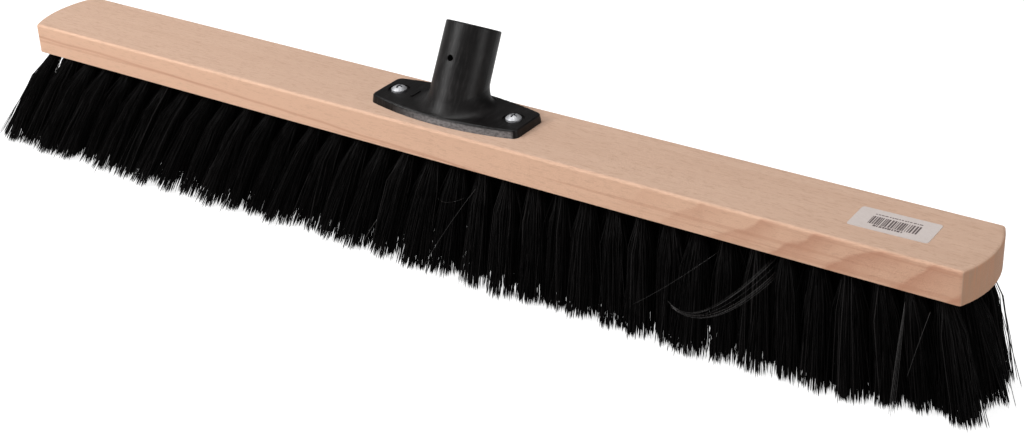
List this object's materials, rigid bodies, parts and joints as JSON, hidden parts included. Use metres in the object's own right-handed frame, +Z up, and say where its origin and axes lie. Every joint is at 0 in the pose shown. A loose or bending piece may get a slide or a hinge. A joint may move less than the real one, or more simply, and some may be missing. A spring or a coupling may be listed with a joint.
{
  "type": "push broom head",
  "caption": "Push broom head: long beech block, flared black bristle tufts in staggered rows, and a tilted screwed-on handle socket.",
  "frame": {"origin": "centre of the bounding box at the trimmed tuft tips, under the middle of the block", "axes": "+Z up, X along the block, the handle socket leans towards +Y"},
  "size_m": [0.622, 0.0756, 0.1263],
  "materials": {
    "beech": "bare planed beech, fine grain along the block",
    "black_plastic": "black moulded plastic, satin",
    "zinc_plated_steel": "bright zinc plate",
    "anchor_wire": "flat drawn wire",
    "bristle_black": "black synthetic filament, slightly glossy",
    "label_paper": "matt self-adhesive paper"
  },
  "bodies": {
    "root": {"anchors_row_1_left_fan": "anchor_wire", "anchors_row_1_right_fan": "anchor_wire", "anchors_row_1_upright": "anchor_wire", "anchors_row_2_left_fan": "anchor_wire", "anchors_row_2_right_fan": "anchor_wire", "anchors_row_2_upright": "anchor_wire", "anchors_row_3_left_fan": "anchor_wire", "anchors_row_3_right_fan": "anchor_wire", "anchors_row_3_upright": "anchor_wire", "anchors_row_4_left_fan": "anchor_wire", "anchors_row_4_right_fan": "anchor_wire", "anchors_row_4_upright": "anchor_wire", "anchors_row_5_left_fan": "anchor_wire", "anchors_row_5_right_fan": "anchor_wire", "anchors_row_5_upright": "anchor_wire", "handle_socket": "black_plastic", "paper_label": "label_paper", "socket_screws": "zinc_plated_steel", "tufts_row_1_left_fan": "bristle_black", "tufts_row_1_right_fan": "bristle_black", "tufts_row_1_upright": "bristle_black", "tufts_row_2_left_fan": "bristle_black", "tufts_row_2_right_fan": "bristle_black", "tufts_row_2_upright": "bristle_black", "tufts_row_3_left_fan": "bristle_black", "tufts_row_3_right_fan": "bristle_black", "tufts_row_3_upright": "bristle_black", "tufts_row_4_left_fan": "bristle_black", "tufts_row_4_right_fan": "bristle_black", "tufts_row_4_upright": "bristle_black", "tufts_row_5_left_fan": "bristle_black", "tufts_row_5_right_fan": "bristle_black", "tufts_row_5_upright": "bristle_black", "wood_block": "beech"}
  },
  "joints": []
}
